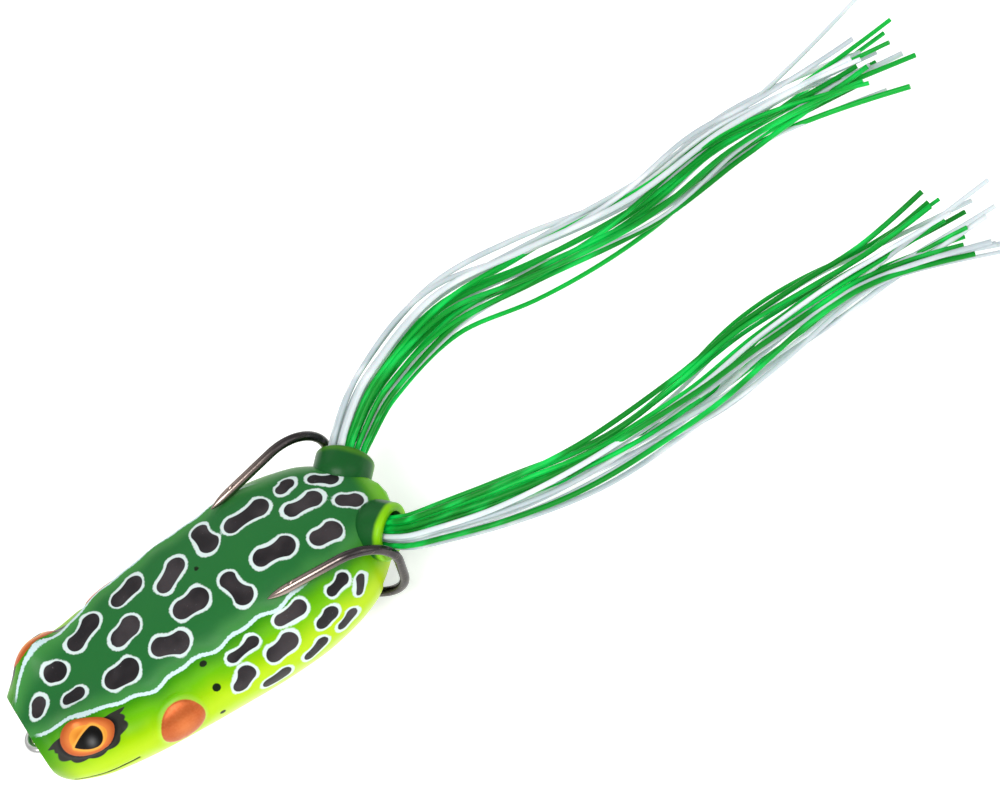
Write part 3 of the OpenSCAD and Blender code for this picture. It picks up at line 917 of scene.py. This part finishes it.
def leg_sleeve(name, side, paint):
    """A short collar with a rounded edge, open at its mouth. Its outline is in radius and
    distance out of the mouth."""
    edge = [(SLEEVE_R - LIP_BEAD + LIP_BEAD * math.cos(t), LIP_BEAD * math.sin(t))
            for t in np.linspace(0, math.pi / 2, 8)]
    outline = [(SLEEVE_BORE + 0.2, -4.7), (SLEEVE_R - 0.75, -4.3), (SLEEVE_R - 0.35, -3.7),
               (SLEEVE_R - 0.08, -3.0), (SLEEVE_R, -2.3), (SLEEVE_R, -1.2)]
    outline += edge + [(SLEEVE_BORE + 0.25, LIP_BEAD), (SLEEVE_BORE, LIP_BEAD - 0.25),
                       (SLEEVE_BORE, -2.5), (SLEEVE_BORE, -4.4)]
    m = sleeve_matrix(side)
    points, out, bore = [], [], []
    for r, w in outline:
        for k in range(RING_SIDES):
            t = 2 * math.pi * k / RING_SIDES
            points.append(m @ Vector((r * math.cos(t), r * math.sin(t), w)))
            out.append(w)
            bore.append(1.0 if r < SLEEVE_BORE + 0.3 and w < LIP_BEAD else 0.0)
    obj = make_object(name, points, hoop_faces(len(outline), RING_SIDES), paint)
    put_attribute(obj, "out", out)
    put_attribute(obj, "bore", bore)
    put_attribute(obj, "height", [p[2] for p in points])
    put_attribute(obj, "lime", [LIP_LIME[side]] * len(points))
    return obj


# ---- Hook ----

def bend_points(a, b, c, radius):
    """Points of the round bend that takes a wire from a to c past its corner b."""
    u, v = (b - a).normalized(), (c - b).normalized()
    angle = u.angle(v)
    out = -(v - u * math.cos(angle)).normalized()
    hub = b - u * radius * math.tan(angle / 2) - out * radius
    steps = max(2, int(math.degrees(angle) / BEND_STEP))
    return [hub + radius * (out * math.cos(angle * i / steps) + u * math.sin(angle * i / steps))
            for i in range(steps + 1)]


def tube(path, radii, sides, flatness=1.0):
    """Rings of points round a path."""
    rings = []
    for i, p in enumerate(path):
        along = (path[min(i + 1, len(path) - 1)] - path[max(i - 1, 0)]).normalized()
        side = along.cross(Vector((0, 1, 0))).normalized()
        up = side.cross(along)
        rings.append([p + radii[i] * (side * math.cos(t) * flatness + up * math.sin(t))
                      for t in (2 * math.pi * k / sides for k in range(sides))])
    return rings


def closed_tube(rings):
    """Points and faces of a tube whose two ends are closed to a point."""
    n = len(rings[0])
    points = [p for ring in rings for p in ring]
    faces = ring_faces(len(rings), n)
    for ring, flip in ((0, True), (len(rings) - 1, False)):
        centre = sum(rings[ring], Vector()) / n
        points.append(centre)
        hub = len(points) - 1
        for k in range(n):
            face = (ring * n + k, ring * n + (k + 1) % n, hub)
            faces.append(tuple(reversed(face)) if flip else face)
    return points, faces


def hook_arm(side):
    """Points and faces of one shank with its bend, tapered point and barb."""
    corners = [Vector(c) for c in HOOK_CORNERS]
    path = [corners[0]]
    for i, radius in enumerate(HOOK_BENDS):
        path += bend_points(corners[i], corners[i + 1], corners[i + 2], radius)
    tip = corners[-1]
    aim = (tip - corners[-2]).normalized()
    radii = [WIRE_R] * len(path) + [WIRE_R * thickness for _, thickness in POINT_TAPER]
    path += [tip - aim * POINT_LENGTH * (1 - share) for share, _ in POINT_TAPER]
    barb_at = tip - aim * BARB_BACK
    barb = [barb_at + aim * ahead + Vector((0, 0, rise)) for ahead, rise, _ in BARB]
    parts = [closed_tube(tube(path, radii, WIRE_SIDES)),
             closed_tube(tube(barb, [r for _, _, r in BARB], BARB_SIDES, BARB_FLATNESS))]
    points, faces = [], []
    for part_points, part_faces in parts:
        base = len(points)
        points += [Vector((p.x, side * p.y, p.z)) for p in part_points]
        faces += [tuple(base + k for k in (f if side > 0 else reversed(f))) for f in part_faces]
    return points, faces


def line_tie_ring(material):
    """The ring of the line tie, with a narrow flat land inside its hole."""
    land = math.acos(-(TIE_R - TIE_HOLE) / WIRE_R)
    turns = [2 * math.pi * k / RING_SIDES for k in range(RING_SIDES)]
    outline = [(TIE_R + WIRE_R * math.cos(t), WIRE_R * math.sin(t))
               for t in np.linspace(-land, land, TIE_ROWS)]
    points = [(r * math.cos(t), r * math.sin(t), z) for r, z in outline for t in turns]
    return make_object("line_tie_ring", points, hoop_faces(len(outline), RING_SIDES), material)


def hook_wire(material):
    """Both arms of the hook, with every point's distance to its tip for the material."""
    points, faces = [], []
    for side in (-1, 1):
        arm_points, arm_faces = hook_arm(side)
        base = len(points)
        points += arm_points
        faces += [tuple(base + k for k in f) for f in arm_faces]
    obj = make_object("hook_wire", points, faces, material)
    tip = Vector(HOOK_CORNERS[-1])
    put_attribute(obj, "to_tip", [(Vector((p.x, abs(p.y), p.z)) - tip).length for p in points])
    return obj


# ---- Legs ----

OUTWARD, RISE = 1, 2
SPLAY_LOSS = 1 - math.cos(math.radians(SPLAY))


def leg_middle(s, side):
    """Middle line of a leg at distance s outside the sleeve mouth. It leaves the sleeve along its
    axis, and eases into a run towards the tail."""
    inside, outside = min(s, 0), max(s, 0)
    eased = 1 - math.exp(-outside / EASE)
    x = SLEEVE_AT[0] + s - EASE * SPLAY_LOSS * eased - inside * SPLAY_LOSS
    y = SLEEVE_AT[1] + float(curve(LEG_COURSE[side], outside, OUTWARD))
    y += inside * math.sin(math.radians(SPLAY))
    z = SLEEVE_AT[2] + float(curve(LEG_COURSE[side], outside, RISE))
    return Vector((x, side * y, z))


def strand_place(k):
    """Place of strand k in its bundle: outwards and up."""
    r = BUNDLE_R * math.sqrt((k + 0.5) / STRANDS)
    return r * math.cos(k * GOLDEN), r * math.sin(k * GOLDEN)


def strand_tones(side):
    """Colour of every strand, given in the order in which they lie across the leg."""
    def drop(k):
        out_place, up_place = strand_place(k)
        return -side * VIEW_OUT * out_place - VIEW_UP * up_place
    order = sorted(range(STRANDS), key=drop)
    names = {"G": "green", "W": "white"}
    return {k: names[letter] for k, letter in zip(order, TONES[side])}


def strand_path(k, side, dice, stops):
    """Points of strand k: its place in the bundle, slow waves of its own, and a fan at the tips."""
    out_place, up_place = strand_place(k)
    waves = [(dice.uniform(*WAVE_SIZE), dice.uniform(*WAVE_RATE), dice.uniform(*ANY_ANGLE))
             for _ in range(4)]
    aim, reach = dice.uniform(*ANY_ANGLE), FAN * dice.uniform(0.15, 1.0)
    turn = dice.uniform(-WANDER, WANDER)

    def sway(slow, fast, s):
        return (slow[0] * math.sin(slow[1] * s + slow[2])
                + fast[0] * math.sin(WAVE_FASTER * fast[1] * s + fast[2]))
    out = []
    for s in stops:
        grow = ramp(s, *WAVES_GROW) * (1 - 0.5 * ramp(s, *WAVES_CALM))
        fan = reach * (max(0.0, s - FAN_AT) / (LEG_LENGTH[side] - FAN_AT)) ** 1.4
        spread = float(curve(LEG_SPREAD[side], s))
        roll = turn * ramp(s, *WANDERING)
        a = (out_place * math.cos(roll) - up_place * math.sin(roll)) * spread + fan * math.cos(aim)
        b = (out_place * math.sin(roll) + up_place * math.cos(roll)) * spread + fan * math.sin(aim)
        a += grow * sway(waves[0], waves[1], s)
        b += grow * sway(waves[2], waves[3], s)
        ahead = (leg_middle(s + 0.5, side) - leg_middle(s - 0.5, side)).normalized()
        across = Vector((0, 0, 1)).cross(ahead).normalized() * side
        lift = ahead.cross(across) * side
        out.append(leg_middle(s, side) + across * a + lift * b)
    return out


def strand_rings(path, width, twist):
    """Flattened eight-sided section carried along a strand, with a slow twist."""
    turns = [2 * math.pi * (k + 0.5) / STRAND_SIDES for k in range(STRAND_SIDES)]
    r = width / 2 * 1.06
    rings = []
    for i, p in enumerate(path):
        along = (path[min(i + 1, len(path) - 1)] - path[max(i - 1, 0)]).normalized()
        side = Vector((0, 0, 1)).cross(along).normalized()
        up = along.cross(side)
        roll = twist * i / len(path)
        ring = []
        for t in turns:
            u, v = r * math.cos(t), r * STRAND_FLATNESS * math.sin(t)
            ring.append(p + side * (u * math.cos(roll) - v * math.sin(roll))
                        + up * (u * math.sin(roll) + v * math.cos(roll)))
        rings.append(ring)
    return rings


def capped_strand(rings):
    """A strand with flat cut ends, whose end faces keep their own points."""
    n = len(rings[0])
    points = [p for ring in rings for p in ring]
    faces = ring_faces(len(rings), n)
    for ring, order in ((rings[0], reversed(range(n))), (rings[-1], range(n))):
        first = len(points)
        points += [p.copy() for p in ring]
        faces.append(tuple(first + k for k in order))
    return points, faces


def leg_strands(side, materials):
    """The strands of one leg, cut into a root run and an end run."""
    word = SIDE_NAMES[side]
    dice = random.Random(SEEDS[side])
    tones = strand_tones(side)
    parts = {(tone, run): ([], [], []) for tone in ("green", "white") for run in ("root", "end")}
    for k in range(STRANDS):
        end = LEG_LENGTH[side] - STAGGER * abs(math.sin(math.radians(k * STAGGER_TURN)))
        tone = tones[k]
        width = STRAND_WIDTH * dice.uniform(0.9, 1.1)
        twist = dice.uniform(-2.5, 2.5)
        tint = dice.random()
        cut = int((SPLIT_AT + ROOT_DEPTH) / ROOT_STEP)
        stops = [-ROOT_DEPTH + (SPLIT_AT + ROOT_DEPTH) * i / cut for i in range(cut + 1)]
        more = int((end - SPLIT_AT) / END_STEP)
        stops += [SPLIT_AT + (end - SPLIT_AT) * (i + 1) / more for i in range(more)]
        rings = strand_rings(strand_path(k, side, dice, stops), width, twist)
        for run, chosen in (("root", rings[:cut + 1]), ("end", rings[cut:])):
            points, faces, tints = parts[tone, run]
            base = len(points)
            new_points, new_faces = capped_strand(chosen)
            points += new_points
            faces += [tuple(base + i for i in f) for f in new_faces]
            tints += [tint] * len(new_points)
    made = {}
    for (tone, run), (points, faces, tints) in parts.items():
        obj = make_object(f"{word}_{tone}_strands_{run}", points, faces, materials[tone])
        put_attribute(obj, "tint", tints)
        made[tone, run] = obj
    return made


def dress_leg(side, materials):
    """One leg's strands, baked in place, with the CAD pieces that they stand for hidden."""
    word = SIDE_NAMES[side]
    made = leg_strands(side, materials)

    def at(s):
        return tuple(leg_middle(s, side) * MM)
    for tone in ("green", "white"):
        root, end = made[tone, "root"], made[tone, "end"]
        at(ROOT_BLEND[0])
        at(ROOT_BLEND[1])
        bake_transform(root)
        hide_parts(f"{word}_{tone}_roots", f"{word}_{tone}_inner")
        at(FLEX_AT - FLEX_BLEND)
        at(FLEX_AT + FLEX_BLEND)
        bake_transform(end)
        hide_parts(f"{word}_{tone}_outer")


# ---- Stage ----

CAMERA_ELEVATION, CAMERA_ROLL = 55.0, 33.0
CAMERA_AIM = Vector((85.6, 4.9, 3.3)) * MM
CAMERA_DISTANCE = 2.0
PIXELS_PER_MM, IMAGE_WIDTH, SENSOR_WIDTH = 6.7, 1000, 36.0

# Lights: place and size in metres, and power in watts
LIGHTS = {
    "key": ((-0.25, -0.35, 0.75), (0.5, 0.35), 5.0),
    "fill": ((0.5, -0.5, 0.5), (0.6, 0.6), 1.2),
    "back": ((0.1, 0.6, 0.6), (0.7, 0.3), 0.5),
}
LIGHT_AIM = Vector((0.08, 0, 0))
WORLD_STRENGTH = 0.55
FLOOR_HALF, FLOOR_DROP = 6.0, 0.0005


def add_camera():
    """Camera on the lure's left, raised, and rolled so that the nose points down left."""
    data = bpy.data.cameras.new("camera")
    data.sensor_width = SENSOR_WIDTH
    data.lens = PIXELS_PER_MM * SENSOR_WIDTH * CAMERA_DISTANCE / MM / IMAGE_WIDTH
    camera = bpy.data.objects.new("camera", data)
    bpy.context.scene.collection.objects.link(camera)
    e, r = math.radians(CAMERA_ELEVATION), math.radians(CAMERA_ROLL)
    back = Vector((0, -math.cos(e), math.sin(e)))
    rise = Vector((0, math.sin(e), math.cos(e)))
    right = Vector((math.cos(r), 0, 0)) - rise * math.sin(r)
    up = Vector((math.sin(r), 0, 0)) + rise * math.cos(r)
    turned = Matrix((right, up, back)).transposed().to_4x4()
    turned.translation = CAMERA_AIM + back * CAMERA_DISTANCE
    camera.matrix_world = turned
    data.clip_start, data.clip_end = 0.05, 20
    bpy.context.scene.camera = camera


def add_area(name, at, size, watts):
    data = bpy.data.lights.new(name, "AREA")
    data.shape = "RECTANGLE"
    data.size, data.size_y = size
    data.energy = watts
    lamp = bpy.data.objects.new(name, data)
    bpy.context.scene.collection.objects.link(lamp)
    lamp.location = at
    lamp.rotation_euler = (LIGHT_AIM - Vector(at)).to_track_quat("-Z", "Y").to_euler()


def add_stage(floor_z):
    """White world, pale floor and three soft lights."""
    world = bpy.data.worlds.new("studio")
    world.use_nodes = True
    sky = world.node_tree.nodes["Background"]
    sky.inputs["Color"].default_value = (1, 1, 1, 1)
    sky.inputs["Strength"].default_value = WORLD_STRENGTH
    bpy.context.scene.world = world
    bpy.context.scene.view_settings.view_transform = "Standard"
    half = FLOOR_HALF
    corners = np.array([(-half, -half, 0), (half, -half, 0), (half, half, 0), (-half, half, 0)])
    floor = make_object("floor", corners / MM + (0, 0, floor_z / MM), [(0, 1, 2, 3)], floor_material())
    for name, (at, size, watts) in LIGHTS.items():
        add_area(name, at, size, watts)


# ---- Build ----

def dress_body():
    """The skin and its two sleeves ride on the shell."""
    skin = body_skin(body_material(), inside_material())
    sleeve_paint = sleeve_material()
    sleeves = [leg_sleeve(f"{word}_sleeve", side, sleeve_paint) for side, word in SIDE_NAMES.items()]
    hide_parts("body_shell")
    for piece in [skin] + sleeves:
        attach(piece, "shell")
        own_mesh(piece)


def dress_hook():
    """The hook's wire and the ring of its line tie."""
    wire = hook_wire(wire_material())
    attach(wire, "hook")
    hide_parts("double_hook")
    ring = line_tie_ring(tie_material())
    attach(ring, "hook")


def dress_carried_nodes():
    """Materials for the CAD pieces that are shown as they are."""
    rubber, metal = rubber_material(), weight_material()
    for name, material in (("nose_seal", rubber), ("left_skirt_band", rubber),
                           ("right_skirt_band", rubber), ("keel_weight", metal)):
        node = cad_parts[name]
        for slot in node.material_slots:
            slot.material = material


def dress_legs():
    """Both legs, in their two kinds of silicone."""
    strands = {
        "green": strand_material("green_silicone", linear(0.0, 0.46, 0.1), linear(0.0, 0.68, 0.22),
                                 linear(0.02, 0.8, 0.32), 0.16),
        "white": strand_material("white_silicone", linear(0.7, 0.75, 0.77), linear(0.83, 0.87, 0.88),
                                 linear(0.91, 0.93, 0.94), 0.05),
    }
    for side in SIDE_NAMES:
        dress_leg(side, strands)


dress_body()
dress_hook()
dress_carried_nodes()
dress_legs()
add_stage(CAD_BOX[0].z - FLOOR_DROP)
add_camera()
